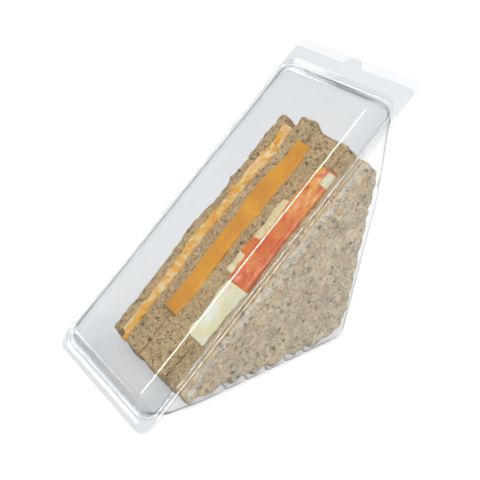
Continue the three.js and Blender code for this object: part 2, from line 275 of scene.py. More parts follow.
class Graph:
    """The node tree of one material or world."""

    def __init__(self, name: str, world: bool = False) -> None:
        """Starts an empty tree.

        Args:
            name: name of the material or world.
            world: True for a world, False for a material.
        """
        self.owner = (bpy.data.worlds if world else bpy.data.materials).new(name)
        self.owner.use_nodes = True
        self.tree = self.owner.node_tree
        self.tree.nodes.clear()
        self.output = self.tree.nodes.new("ShaderNodeOutputWorld" if world else "ShaderNodeOutputMaterial")

    def node(self, kind: str, settings: dict, inputs: dict) -> bpy.types.Node:
        """Adds a node.

        Args:
            kind: type of the node.
            settings: its properties, which are set first.
            inputs: values or links by socket name or number.

        Returns:
            The node.
        """
        node = self.tree.nodes.new(kind)
        for key, setting in settings.items():
            setattr(node, key, setting)
        for key, value in inputs.items():
            if isinstance(value, Value):
                self.tree.links.new(value.socket, node.inputs[key])
            else:
                node.inputs[key].default_value = value
        return node

    def value(self, kind: str, settings: dict, inputs: dict, output: int | str = 0) -> Value:
        """Adds a node and gives one of its outputs."""
        return Value(self, self.node(kind, settings, inputs).outputs[output])

    def place(self) -> Value:
        """Object coordinates."""
        return self.value("ShaderNodeTexCoord", {}, {}, "Object")

    def noise(self, size: float, detail: float = 2, roughness: float = 0.5, distortion: float = 0) -> Value:
        """Noise whose features are about size millimetres."""
        inputs = {"Vector": self.place(), "Scale": 1 / (size * MM), "Detail": detail, "Roughness": roughness,
                  "Distortion": distortion}
        return self.value("ShaderNodeTexNoise", {}, inputs, "Fac")

    def cells(self, size: float) -> Value:
        """Distance to the nearest middle of cells about size millimetres across."""
        inputs = {"Vector": self.place(), "Scale": 1 / (size * MM)}
        return self.value("ShaderNodeTexVoronoi", {}, inputs, "Distance")

    def lines(self, size: float, detail: float, width: float) -> Value:
        """1 along winding lines about size millimetres apart, 0 further than width from them."""
        ridge = (self.noise(size, detail, 0.5, 1.2) - 0.5).maths("ABSOLUTE")
        return 1 - ridge.over(0.0, width)

    def attribute(self, name: str) -> Value:
        """A number painted on the piece."""
        return self.value("ShaderNodeAttribute", {"attribute_name": name}, {}, "Fac")

    def mix(self, share: "Value | float", first: "Value | tuple", second: "Value | tuple") -> Value:
        """Mixes two colours.

        Args:
            share: share of the second.
            first: a colour or a link.
            second: a colour or a link.

        Returns:
            The mixed colour.
        """
        node = self.node("ShaderNodeMix", {"data_type": "RGBA", "clamp_factor": True}, {0: share})
        for index, colour in ((6, first), (7, second)):
            if isinstance(colour, Value):
                self.tree.links.new(colour.socket, node.inputs[index])
            else:
                node.inputs[index].default_value = (*colour, 1.0)
        return Value(self, node.outputs[2])

    def bump(self, height: Value, distance: float, strength: float = 1.0) -> Value:
        """Bump of a height whose unit is distance millimetres."""
        inputs = {"Height": height, "Distance": distance * MM, "Strength": strength}
        return self.value("ShaderNodeBump", {}, inputs, "Normal")

    def surface(self, shader: Value) -> bpy.types.Material:
        """Connects the finished shader and gives the material."""
        self.tree.links.new(shader.socket, self.output.inputs["Surface"])
        return self.owner


# Finishes


@dataclass(frozen=True)
class ClearFilm:
    """Clear PET: nearly invisible face on, grey-blue and bright where it turns away."""

    name: str = "clear_film"
    tint: tuple = (0.995, 0.996, 0.998)
    rim_tint: tuple = (0.957, 0.964, 0.970)
    edge_tint: tuple = (0.60, 0.63, 0.66)
    edge_start: float = 0.6
    index: float = 1.5
    roughness: float = 0.05
    wave: float = 26
    fine_wave: float = 5
    fine_share: float = 0.12
    ripple: float = 0.5
    ripple_strength: float = 0.35

    def build(self) -> bpy.types.Material:
        """Makes the material.

        Returns:
            The material.
        """
        graph = Graph(self.name)
        waves = graph.noise(self.wave, 1.0) + self.fine_share * graph.noise(self.fine_wave, 2.0)
        normal = graph.bump(waves, self.ripple, self.ripple_strength)
        facing = graph.value("ShaderNodeLayerWeight", {}, {"Blend": 0.5}, "Facing")
        wall = graph.mix(graph.attribute("rim"), self.tint, self.rim_tint)
        clear = graph.value("ShaderNodeBsdfTransparent", {}, {"Color": wall})
        edge = graph.value("ShaderNodeBsdfTransparent", {}, {"Color": (*self.edge_tint, 1)})
        turned = facing.over(self.edge_start, 1.0)
        body = graph.value("ShaderNodeMixShader", {}, {0: turned, 1: clear, 2: edge})
        inputs = {"Color": WHITE, "Roughness": self.roughness, "Normal": normal}
        gloss = graph.value("ShaderNodeBsdfAnisotropic", {}, inputs)
        straight = ((self.index - 1) / (self.index + 1)) ** 2
        mirror = straight + (1 - straight) * facing ** 5
        return graph.surface(graph.value("ShaderNodeMixShader", {}, {0: mirror, 1: body, 2: gloss}))


@dataclass(frozen=True)
class Spots:
    """Round spots of one size that come in groups, with sizes in millimetres."""

    size: float
    rim: tuple[float, float]
    group: float
    gate: tuple[float, float]
    detail: float = 1.0

    def value(self, graph: Graph) -> Value:
        """1 in the middle of a spot."""
        spots = 1 - graph.cells(self.size).over(*self.rim)
        return spots * graph.noise(self.group, self.detail).over(*self.gate)


@dataclass(frozen=True)
class Crumb:
    """Wholemeal crumb: pores darkened with painted shade, bran flecks and a paler, tighter outer face; the
    tones of both faces carry some painted shade and highlight from their relief.
    """

    name: str = "wholemeal_crumb"
    # Light and dark crumb tones; the dark one falls in the bump's hollows, partly painted shade.
    light: tuple = (0.86, 0.62, 0.32)
    dark: tuple = (0.38, 0.235, 0.10)
    # Near-black colour of the painted shade in the pores and pits.
    pore: tuple = (0.10, 0.055, 0.02)
    skin: tuple = (0.99, 0.83, 0.58)
    # Darker outer-face tone for its low patches: painted shade, with some random tone.
    skin_dark: tuple = (0.68, 0.53, 0.35)
    # Paler tone along the fold crests: painted highlight.
    skin_fold: tuple = (1.0, 0.94, 0.78)
    toast: tuple = (0.80, 0.47, 0.20)
    milky: tuple = (1.0, 0.93, 0.79)
    bran: tuple = (0.38, 0.15, 0.05)
    roughness: float = 0.85
    grain_size: float = 0.9
    lump_size: float = 2.4
    tone_size: float = 14
    patch_size: float = 6
    fold_size: float = 8
    toast_size: float = 4
    milk_size: float = 9
    relief: float = 1.1
    # Pits and pores are painted towards the pore colour: painted shade in the hollows that the bump digs.
    # Flecks are bran.
    pits: Spots = Spots(4.2, (0.12, 0.36), 11, (0.48, 0.56))
    pores: Spots = Spots(1.6, (0.18, 0.36), 3.0, (0.48, 0.56), 2.0)
    flecks: Spots = Spots(2.3, (0.12, 0.28), 6.5, (0.52, 0.58))

    def outer_face(self, graph: Graph, tone: Value, grain: Value) -> tuple[Value, Value]:
        """Colour and relief of the tight outer face, browner and milkier towards the cut edge, with painted
        shade in its low patches and painted highlights along its fold crests.

        Args:
            graph: the material's tree.
            tone: broad noise that the cut face also has.
            grain: fine noise that the cut face also has.

        Returns:
            The colour and the height.
        """
        patches = graph.noise(self.patch_size, 4.0, 0.65, 0.6)
        # Low patches of the relief get the darker tone: painted shade, mixed with random tone.
        shade = (patches * 0.7 + tone * 0.4 + grain * 0.2).over(0.42, 0.82)
        folds = graph.lines(self.fold_size, 3.0, 0.05)
        pits = self.pits.value(graph)
        # Fold lines, which the bump raises into crests, are painted paler: painted highlight.
        pale = graph.mix(folds * 0.5, graph.mix(shade, self.skin_dark, self.skin), self.skin_fold)
        toasted = graph.attribute("edge") * graph.noise(self.toast_size, 3.0, 0.6).over(0.48, 0.62)
        # Pits are painted half way to the pore colour, which is painted shade; near the cut edge the face is
        # toasted browner.
        baked = graph.mix(toasted * 0.5, graph.mix(pits * 0.5, pale, self.pore), self.toast)
        milk = graph.attribute("film").over(0.9, 1.0) * graph.noise(self.milk_size, 2.0).over(0.36, 0.56)
        return graph.mix(milk * 0.75, baked, self.milky), patches * 1.6 + folds * 0.9 - pits * 1.4

    def build(self) -> bpy.types.Material:
        """Makes the material.

        Returns:
            The material.
        """
        graph = Graph(self.name)
        skin = graph.attribute("skin")
        grain = graph.noise(self.grain_size, 3.0, 0.75)
        lumps = graph.noise(self.lump_size, 4.0, 0.65)
        tone = graph.noise(self.tone_size, 2.0)
        # The crumb's tone follows the same grain and lumps as its bump and is darker in the hollows: partly
        # random tone, partly painted shade.
        crumb = graph.mix((grain * 0.7 + lumps * 0.5 + tone * 0.2).over(0.48, 0.86), self.dark, self.light)
        face, relief = self.outer_face(graph, tone, grain)
        # Pores from the shader and from the sculpted pores' painted number are darkened towards the pore
        # colour: painted shade in the holes.
        pores = self.pores.value(graph) * (1 - skin * 0.85) + graph.attribute("pore")
        pores = pores.maths("MINIMUM", 1.0)
        holed = graph.mix(pores * 0.8, graph.mix(skin, crumb, face), self.pore)
        colour = graph.mix(self.flecks.value(graph) * (0.75 - skin * 0.3), holed, self.bran)
        height = grain * 0.8 + lumps * 0.9 + skin * relief - pores * 1.2
        normal = graph.bump(height, self.relief)
        inputs = {"Base Color": colour, "Roughness": self.roughness, "Normal": normal,
                  "Subsurface Weight": 0.08, "Subsurface Scale": 0.002, "Specular IOR Level": 0.25}
        return graph.surface(graph.value("ShaderNodeBsdfPrincipled", {}, inputs))


@dataclass(frozen=True)
class Mottled:
    """A soft food with two tones and a fine bump."""

    name: str
    light: tuple
    dark: tuple
    size: float
    roughness: float
    bump: float
    grain: float = 0.6
    coat: float = 0.0

    def build(self) -> bpy.types.Material:
        """Makes the material.

        Returns:
            The material.
        """
        graph = Graph(self.name)
        tone = graph.noise(self.size, 3.0, 0.55)
        colour = graph.mix(tone.over(0.36, 0.66), self.dark, self.light)
        height = tone + 0.5 * graph.noise(self.grain, 2.0)
        normal = graph.bump(height, self.bump, 0.7)
        inputs = {"Base Color": colour, "Roughness": self.roughness, "Normal": normal,
                  "Subsurface Weight": 0.12, "Subsurface Scale": 0.003, "Specular IOR Level": 0.3,
                  "Coat Weight": self.coat, "Coat Roughness": 0.25}
        return graph.surface(graph.value("ShaderNodeBsdfPrincipled", {}, inputs))


@dataclass(frozen=True)
class SalmonFlesh:
    """Moist red-orange flesh with pale veins."""

    name: str = "salmon_flesh"
    light: tuple = (0.94, 0.26, 0.035)
    dark: tuple = (0.80, 0.105, 0.008)
    vein: tuple = (0.95, 0.50, 0.25)
    head: tuple = (0.98, 0.44, 0.05)
    tone_size: float = 9
    vein_size: float = 7
    patch_size: float = 5
    grain_size: float = 1.2

    def build(self) -> bpy.types.Material:
        """Makes the material.

        Returns:
            The material.
        """
        graph = Graph(self.name)
        tone = graph.noise(self.tone_size, 3.0, 0.5, 0.4)
        flesh = graph.mix(tone.over(0.35, 0.65), self.dark, self.light)
        veins = graph.lines(self.vein_size, 2.0, 0.03) * graph.noise(self.patch_size, 1.0).over(0.42, 0.6)
        warm = graph.attribute("head") * graph.noise(self.patch_size, 2.0).over(0.4, 0.6)
        colour = graph.mix(veins * 0.7, graph.mix(warm, flesh, self.head), self.vein)
        height = tone + 0.3 * graph.noise(self.grain_size, 2.0)
        normal = graph.bump(height, 0.5, 0.6)
        inputs = {"Base Color": colour, "Roughness": 0.34, "Normal": normal, "Subsurface Weight": 0.2,
                  "Subsurface Scale": 0.003, "Coat Weight": 0.3, "Coat Roughness": 0.15}
        return graph.surface(graph.value("ShaderNodeBsdfPrincipled", {}, inputs))


# Film pieces


@dataclass(frozen=True)
class Station:
    """One rounded outline of a moulded film, in the window frame, in millimetres."""

    half: float
    toe: float
    head: float
    toe_radius: float
    head_radius: float
    out: float

    def between(self, other: "Station", share: float) -> "Station":
        """Gives the outline a share of the way to another one."""
        return Station(*(a + (b - a) * share for a, b in zip(astuple(self), astuple(other))))

    def inside(self, side: float, end: float, corner: float, out: float) -> "Station":
        """Gives a smaller outline inside this one.

        Args:
            side: how far its sides lie inside.
            end: how far its ends lie inside.
            corner: its corners' radius.
            out: its distance outwards from the flange plane.

        Returns:
            The outline.
        """
        return Station(self.half - side, self.toe + end, self.head - end, corner, corner, out)

    def reach(self, other: "Station") -> float:
        """How far apart two outlines are along the film."""
        across = max(abs(self.half - other.half), abs(self.head - other.head), abs(self.toe - other.toe))
        return math.hypot(across, self.out - other.out)


def eased(stations: list[Station], radius: float, steps: int) -> list[Station]:
    """Rounds the corners of a film's profile.

    Args:
        stations: outlines from the rim inwards.
        radius: how far from each corner the rounding starts, in millimetres.
        steps: outlines in each rounding.

    Returns:
        The rounded list.
    """
    rounded = [stations[0]]
    for before, corner, after in zip(stations, stations[1:], stations[2:]):
        start = corner.between(before, min(radius / max(corner.reach(before), TINY), MOST_EASED))
        end = corner.between(after, min(radius / max(corner.reach(after), TINY), MOST_EASED))
        for step in range(steps + 1):
            share = step / steps
            rounded.append(start.between(corner, share).between(corner.between(end, share), share))
    rounded.append(stations[-1])
    return rounded


@dataclass
class FilmSheet:
    """A moulded film made by lofting outlines and giving them the film's wall."""

    window: WindowFrame
    wall: float = 0.45
    arc_steps: int = 7
    edge_steps: int = 24
    sharp_angle: float = 40
    rim_depths: tuple = (3.0, 1.9)
    bead_half: float = 38.9
    bead_toe: float = 5.3
    bead_head: float = 185.8
    bead_corner: float = 8
    bead_steps: int = 3

    def bead(self, offset: float, out: float) -> Station:
        """An outline parallel to the snap bead's middle line.

        Args:
            offset: how far outside the line it runs.
            out: its distance outwards from the flange plane.

        Returns:
            The outline.
        """
        toe, head = self.bead_toe - offset, self.bead_head + offset
        radius = self.bead_corner + offset
        return Station(self.bead_half + offset, toe, head, radius, radius, out)

    def loop(self, station: Station, edge: Callable[[float], float] | None = None) -> list[tuple]:
        """Points of one outline, anticlockwise from the left end of the toe.

        Args:
            station: the outline.
            edge: how far the head edge bulges at a distance across.

        Returns:
            Places in the window frame.
        """
        half, low, high = station.half, station.toe_radius, station.head_radius
        corners = (
            (-half + low, station.toe + low, low, 180),
            (half - low, station.toe + low, low, 270),
            (half - high, station.head - high, high, 0),
            (-half + high, station.head - high, high, 90),
        )
        head_right, head_left = corners[2:]
        points = []
        for corner in corners:
            across, up, radius, start = corner
            for step in range(self.arc_steps + 1):
                angle = math.radians(start + 90 * step / self.arc_steps)
                points.append((across + radius * math.cos(angle), up + radius * math.sin(angle), station.out))
            if corner is head_right:
                for step in range(1, self.edge_steps):
                    share = step / self.edge_steps
                    flat = across + (head_left[0] - across) * share
                    rise = edge(flat) if edge else 0
                    points.append((flat, station.head + rise, station.out))
        return points

    def loft(self, name: str, loops: list, finish: Callable[[Vector], Vector]) -> bpy.types.Object:
        """Bridges outlines into a sheet with a closed bottom.

        Args:
            name: name of the piece.
            loops: outlines in the window frame, from the rim to the last, which is closed.
            finish: last change to each vertex, in the pack's frame in metres.

        Returns:
            The sheet, still without a wall.
        """
        shape = bmesh.new()
        rings = []
        for points in loops:
            verts = [shape.verts.new(finish(self.window.point(*point))) for point in points]
            edges = [shape.edges.new((verts[index - 1], verts[index])) for index in range(len(verts))]
            rings.append((verts, edges))
        for (_, lower), (_, upper) in zip(rings, rings[1:]):
            bmesh.ops.bridge_loops(shape, edges=lower + upper)
        shape.faces.new(rings[-1][0])
        bmesh.ops.recalc_face_normals(shape, faces=shape.faces)
        return from_bmesh(name, shape)

    def walled(self, piece: bpy.types.Object, outwards: Vector) -> bpy.types.Object:
        """Gives a sheet its wall, on the hollow side.

        Args:
            piece: an open sheet with even normals.
            outwards: direction that its last face looks when the normals point outwards.

        Returns:
            The film piece.
        """
        mesh = piece.data
        last = mesh.polygons[len(mesh.polygons) - 1]
        if last.normal.dot(outwards) < 0:
            mesh.flip_normals()
        paint(piece, "rim", lambda place, normal: ramp(abs(self.window.place(place)[2]), *self.rim_depths))
        solidify = piece.modifiers.new("wall", "SOLIDIFY")
        solidify.thickness = self.wall * MM
        solidify.offset = -1
        solidify.use_even_offset = False
        applied(piece)
        piece.data.shade_smooth()
        piece.data.set_sharp_from_angle(angle=math.radians(self.sharp_angle))
        return piece


@dataclass
class LidFilm:
    """The lid: flange with its tongue, snap bead and raised window."""

    sheet: FilmSheet
    flange_half: float = 41.1
    flange_toe: float = 0.75
    flange_head: float = 194.8
    flange_top: float = 0.75
    toe_corner: float = 7
    head_corner: float = 2.5
    bead_foot: float = 1.9
    bead_outer_ease: float = 0.25
    bead_inner_ease: float = 0.1
    bead_crown: float = 0.75
    bead_rise: float = 1.2
    bead_bevel: float = 0.5
    dome_gap: float = 0.4
    dome_start: float = 0.3
    dome_foot_corner: float = 5.8
    dome_top: float = 7.5
    dome_side: float = 6.3
    dome_end: float = 4.4
    dome_corner: float = 5
    dome_bevel: float = 1.6
    dome_steps: int = 6
    window_margin: float = 4
    window_corner: float = 3
    tongue_half: float = 1.9
    tongue_base: float = 7.0
    tongue_rise: float = 4.6

    def tongue(self, across: float) -> float:
        """Rise of the tongue over the head edge."""
        return self.tongue_rise * ramp(abs(across), self.tongue_base, self.tongue_half)

    def stations(self) -> list[Station]:
        """Outlines from the flange's rim to the window.

        Returns:
            The outlines, with the rim first.
        """
        bead = self.sheet.bead
        top = self.flange_top
        crest = top + self.bead_rise
        rim = [
            Station(self.flange_half, self.flange_toe, self.flange_head, self.toe_corner,
                    self.head_corner, top),
            bead(self.bead_foot + self.bead_outer_ease, top),
            bead(self.bead_crown, crest),
            bead(-self.bead_crown, crest),
            bead(-self.bead_foot + self.bead_inner_ease, top),
        ]
        foot = bead(-self.bead_foot, top)
        start = foot.inside(self.dome_gap, self.dome_gap, self.dome_foot_corner, top + self.dome_start)
        shoulder = foot.inside(self.dome_side, self.dome_end, self.dome_corner, self.dome_top)
        window = shoulder.inside(self.window_margin, self.window_margin, self.window_corner, self.dome_top)
        dome = eased([start, shoulder, window], self.dome_bevel, self.dome_steps)
        return eased(rim, self.bead_bevel, self.sheet.bead_steps) + dome

    def build(self) -> bpy.types.Object:
        """Makes the lid.

        Returns:
            The lid.
        """
        rim, *inner = self.stations()
        loops = [self.sheet.loop(rim, self.tongue)] + [self.sheet.loop(station) for station in inner]
        piece = self.sheet.loft("lid_film", loops, lambda point: point)
        return self.sheet.walled(piece, CUT_SIDE)


@dataclass(frozen=True)
class Ribs:
    """Ribs moulded across the base with flats between them, in millimetres behind the hinge."""

    pitch: float = 13.0
    count: int = 5
    first: float = 49.0
    flat: float = 2.4
    radius: float = 5.9

    def crests(self) -> list[float]:
        """Where the ribs stand highest."""
        return [self.first + index * self.pitch for index in range(self.count)]

    def reach(self) -> float:
        """Half the width of a rib."""
        return (self.pitch - self.flat) / 2

    def height(self, behind: float) -> float:
        """Height of the outside of the base over the table, 0 on the flats.

        Args:
            behind: distance behind the hinge.

        Returns:
            The height.
        """
        crest = min(self.crests(), key=lambda middle: abs(behind - middle))
        from_flat = self.reach() - abs(behind - crest)
        if from_flat <= 0:
            return 0.0
        return self.radius - math.sqrt(self.radius ** 2 - from_flat ** 2)


@dataclass
class TrayFilm:
    """The tray: flange with its tab, bead, neck and ribbed wedge."""

    sheet: FilmSheet
    ribs: Ribs = Ribs()
    flange_half: float = 41.5
    flange_toe: float = 0.45
    flange_head: float = 200.0
    flange_under: float = -0.45
    toe_corner: float = 7
    head_corner: float = 4
    bead_foot: float = 0.95
    bead_crown: float = 0.4
    bead_rise: float = 1.1
    bead_bevel: float = 0.4
    neck_half: float = 37.3
    neck_toe: float = 6.9
    neck_head: float = 184.2
    neck_corner: float = 9
    neck_depth: float = -1.4
    neck_ease: float = 0.1
    neck_toe_ease: float = 0.3
    side_draft: float = 0.072
    toe_draft: float = 0.33
    toe_bend_up: float = 0.9
    toe_bend_out: float = 2.4
    toe_ease: float = 0.4
    head_draft: float = 0.1
    back_bottom: float = 131.3
    back_step_out: float = 134.8
    back_step_in: float = 133.6
    step_height: float = 88.0
    step_rise: float = 2.5
    heel: float = 10.5
    heel_steps: int = 5
    heel_corner: float = 4.2
    corner_depths: tuple = (8, 24)
    corner_share: float = 0.45
    first_depth: float = -0.7
    more_depths: tuple = (-1.5, -3.0, -7.0, -14.0, -17.0, -20.0, -23.0, -26.0, -34.0)
    least_step: float = 0.1
    least_length: float = 0.8
    rib_steps: int = 6

    def chains(self) -> tuple[list, list]:
        """Draws the side view of the wedge from the neck to the heel.

        Returns:
            Two chains of (up, out) points, one along the base and one along the back.
        """
        base = self.neck_toe / (1 - self.toe_draft)
        middle = self.back_bottom - self.heel
        toe = [
            (self.neck_toe, 0.0),
            (base - self.toe_bend_up, -base + self.toe_bend_out),
            (base + self.toe_ease, -base - self.toe_ease),
            sloped(middle, 0.0),
        ]
        head_out = (2 * DIAGONAL * self.back_step_in - self.neck_head) / (1 - self.head_draft)
        head = [
            (self.neck_head, 0.0),
            (self.neck_head - self.head_draft * head_out, -head_out),
            sloped(self.back_step_in, self.step_height + self.step_rise),
            sloped(self.back_step_out, self.step_height),
            sloped(self.back_bottom, self.heel),
        ]
        for step in range(1, self.heel_steps + 1):
            angle = math.radians(45 * step / self.heel_steps)
            drop = self.heel * (1 - math.cos(angle))
            along = self.heel * math.sin(angle)
            head.append(sloped(self.back_bottom - drop, self.heel - along))
            toe.append(sloped(middle + along, drop))
        return toe, head

    @staticmethod
    def follow(chain: list, out: float) -> float:
        """Finds how far up the slope a chain is at a depth.

        Args:
            chain: (up, out) points with out falling.
            out: the depth.

        Returns:
            The distance up the slope.
        """
        for (up_a, out_a), (up_b, out_b) in zip(chain, chain[1:]):
            if out >= out_b:
                return up_a + (up_b - up_a) * (out_a - out) / (out_a - out_b)
        return chain[-1][0]

    def depths(self, toe: list, head: list) -> list[float]:
        """Depths at which the wedge gets an outline.

        Args:
            toe: chain along the base.
            head: chain along the back.

        Returns:
            The depths, with the shallowest first.
        """
        depths = {out for _, out in toe + head if out < self.first_depth}
        depths |= set(self.more_depths)
        for crest in self.ribs.crests():
            for step in range(-self.rib_steps, self.rib_steps + 1):
                depths.add(-(crest + self.ribs.reach() * step / self.rib_steps) * DIAGONAL)
        ordered = sorted(depths, reverse=True)
        kept = ordered[:1]
        for depth in ordered[1:]:
            if kept[-1] - depth > self.least_step:
                kept.append(depth)
        return kept

    def wedge(self) -> list[Station]:
        """Outlines of the wedge from the neck down to the heel.

        Returns:
            The outlines, with the neck first.
        """
        toe, head = self.chains()
        shallow, deep = self.corner_depths
        stations = []
        for out in self.depths(toe, head):
            low, high = self.follow(toe, out), self.follow(head, out)
            if high - low < self.least_length:
                break
            blend = min(max((-out - shallow) / (deep - shallow), 0), 1)
            radius = self.neck_corner + (self.heel_corner - self.neck_corner) * blend
            radius = min(radius, (high - low) * self.corner_share)
            stations.append(Station(self.neck_half + self.side_draft * out, low, high, radius, radius, out))
        return stations

    def stations(self) -> list[Station]:
        """Outlines from the flange's rim to the heel.

        Returns:
            The outlines, with the rim first.
        """
        bead = self.sheet.bead
        under = self.flange_under
        crest = under + self.bead_rise
        corner = self.neck_corner
        rim = [
            Station(self.flange_half, self.flange_toe, self.flange_head, self.toe_corner,
                    self.head_corner, under),
            bead(self.bead_foot, under),
            bead(self.bead_crown, crest),
            bead(-self.bead_crown, crest),
            bead(-self.bead_foot, under),
            Station(self.neck_half, self.neck_toe, self.neck_head, corner, corner, under),
            Station(self.neck_half - self.neck_ease, self.neck_toe + self.neck_toe_ease,
                    self.neck_head - self.neck_ease, corner, corner, self.neck_depth),
        ]
        return eased(rim, self.bead_bevel, self.sheet.bead_steps) + self.wedge()

    def finish(self, point: Vector) -> Vector:
        """Presses the ribs into the base.

        Args:
            point: vertex in metres.

        Returns:
            Where it goes.
        """
        height = point.z / MM
        behind = point.y / MM - self.sheet.window.hinge_y
        if height < self.ribs.radius and behind > self.ribs.first - self.ribs.pitch:
            point.z = max(height, self.ribs.height(behind)) * MM
        return point

    def build(self) -> bpy.types.Object:
        """Makes the tray.

        Returns:
            The tray.
        """
        loops = [self.sheet.loop(station) for station in self.stations()]
        piece = self.sheet.loft("tray_film", loops, self.finish)
        return self.sheet.walled(piece, -CUT_SIDE)


# Bread and fillings


@dataclass(frozen=True)
class Press:
    """How the packed sandwich is pressed: one soft warp that all its pieces share, and a sag onto the base.

    A part of the warp fades in over each pair of distances, from the first to the second.
    """

    window: WindowFrame
    ribs: Ribs = Ribs()
    size: float = 22
    shift: float = 1.4
    start: tuple = (3.7, 1.1, 8.2)
    side: tuple = (33, 14)
    back: tuple = (129, 112)
    floor: tuple = (5, 20)
    sag: float = 2.6
    sag_floor: tuple = (12, 5)
    sag_back: tuple = (122, 112)

    def warp(self, place: Vector) -> Vector:
        """Moves a point with the pressed sandwich.

        Args:
            place: point in metres.

        Returns:
            Where it goes, clear of the tray's side, back and base.
        """
        behind = place.y / MM - self.window.hinge_y
        height = place.z / MM
        shift = noise.noise_vector(place / MM / self.size + Vector(self.start)) * self.shift
        shift.x *= ramp(place.x / MM, *self.side)
        shift.y *= ramp(behind, *self.back)
        shift.z *= ramp(height, *self.floor)
        between = 1.0
        if behind > self.ribs.first - self.ribs.pitch / 2:
            between = 0.5 - 0.5 * math.cos(2 * math.pi * (behind - self.ribs.first) / self.ribs.pitch)
        shift.z -= self.sag * between * ramp(height, *self.sag_floor) * ramp(behind, *self.sag_back)
        return place + shift * MM


@dataclass
class SoftPiece:
    """A soft piece of the sandwich, sculpted from its solid."""

    node: str
    press: Press
    slot: Slot = Slot.BREAD
    voxel: float = 0.6
    soft: int = 4
    ending: str = "_crumb"

    def paints(self) -> dict[str, Callable[[Vector, Vector], float]]:
        """Numbers to paint on the piece, by name, each worked out from a vertex's place and normal."""
        return {}

    def shape(self, place: Vector, normal: Vector) -> Vector:
        """Gives the new place of a vertex.

        Args:
            place: its place in the solid, in metres.
            normal: its normal there.

        Returns:
            Its new place.
        """
        return self.press.warp(place)

    def build(self, finish: bpy.types.Material) -> bpy.types.Object:
        """Makes the piece.

        Args:
            finish: its material.

        Returns:
            The piece.
        """
        piece = remeshed(self.node + self.ending, self.node, self.voxel, self.soft)
        for name, value in self.paints().items():
            paint(piece, name, value)
        sculpt(piece, self.shape)
        dress(piece, finish, Body.TRAY, self.slot)
        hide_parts(self.node)
        return piece


@dataclass(frozen=True)
class Pores:
    """Pores of one size, at most one in each cell of the crumb."""

    cell: float
    share: float
    deepest: float = 1.0
    least_radius: float = 0.16
    more_radius: float = 0.22

    def depth(self, place: Vector, seed: float) -> float:
        """Depth, 0 to 1, of the pore at a place.

        Args:
            place: place in millimetres.
            seed: the slice's own number.

        Returns:
            The deepest value in the middle of a pore.
        """
        distances, points = noise.voronoi(place / self.cell)
        luck = 0.5 + 0.5 * noise.cell(points[0] * 7.3 + Vector((seed, 0, 0)))
        if luck > self.share:
            return 0.0
        radius = self.least_radius + self.more_radius * luck / self.share
        return self.deepest * max(0.0, 1 - distances[0] / radius)


@dataclass
class BreadSlice(SoftPiece):
    """A slice of wholemeal bread."""

    skin_side: int = 0
    seed: float = 0.0
    against_film: float = 0.0
    waves: tuple = ((0.8, 15), (0.75, 3.6), (0.34, 1.3))
    wrinkle: float = 1.0
    wrinkle_size: float = 7
    wrinkle_level: float = 0.6
    bend: float = 0.6
    bend_size: float = 12
    large_pores: Pores = Pores(4.2, 0.4)
    small_pores: Pores = Pores(2.2, 0.5, 0.7)
    pore_depth: float = 1.2
    pore_shade: float = 1.3
    crumb_limit: float = 0.8
    skin_limit: float = 0.35
    swollen: float = 0.1
    browned: tuple = (-34, -12)

    def pores(self, place: Vector) -> float:
        """Depth of both sizes of pore together.

        Args:
            place: place in millimetres.

        Returns:
            The depth, 0 to 1.
        """
        offset = Vector((self.seed * 3.1, self.seed, -self.seed))
        large = self.large_pores.depth(place + offset, self.seed)
        return max(large, self.small_pores.depth(place - offset, self.seed))

    def shape(self, place: Vector, normal: Vector) -> Vector:
        """New place of a vertex.

        Args:
            place: its place in the solid, in metres.
            normal: its normal there.

        Returns:
            Its new place, in metres.
        """
        spot = place / MM + Vector((self.seed * 11, 0, 0))
        rise = sum(height * noise.noise(spot / size) for height, size in self.waves)
        skin = max(0.0, normal.x * self.skin_side)
        bend = self.bend * noise.noise_vector(spot / self.bend_size)
        fold = 1 - 2 * abs(noise.noise(spot / self.wrinkle_size + bend))
        rise += skin * self.wrinkle * (fold - self.wrinkle_level)
        rise -= self.pore_depth * self.pores(place / MM) * (1 - 0.5 * skin)
        limit = self.skin_limit if skin > 0.5 else self.crumb_limit
        return self.press.warp(place + normal * (min(rise, limit) + self.swollen) * MM)

    def edge(self, place: Vector) -> float:
        """Nearness to the cut edge, where the outer face is browner."""
        return ramp(self.press.window.place(place)[2], *self.browned)

    def paints(self) -> dict[str, Callable[[Vector, Vector], float]]:
        """Paints the painted shade in the pores, the outer face, the cut edge and the stretch against the
        film.

        Returns:
            What gives each number, by name.
        """
        return {
            # The pore number is the sculpted pores' depth, which the crumb uses as painted shade in them.
            "pore": lambda place, normal: min(1.0, self.pore_shade * self.pores(place / MM)),
            "skin": lambda place, normal: min(max(1.6 * normal.x * self.skin_side - 0.5, 0), 1),
            "edge": lambda place, normal: self.edge(place),
            "film": lambda place, normal: self.edge(place) * self.against_film,
        }


@dataclass(frozen=True)
class Bulge:
    """A stretch where a filling spreads sideways, given along the window's slope."""

    side: int
    up: float
    reach: float
    rise: float


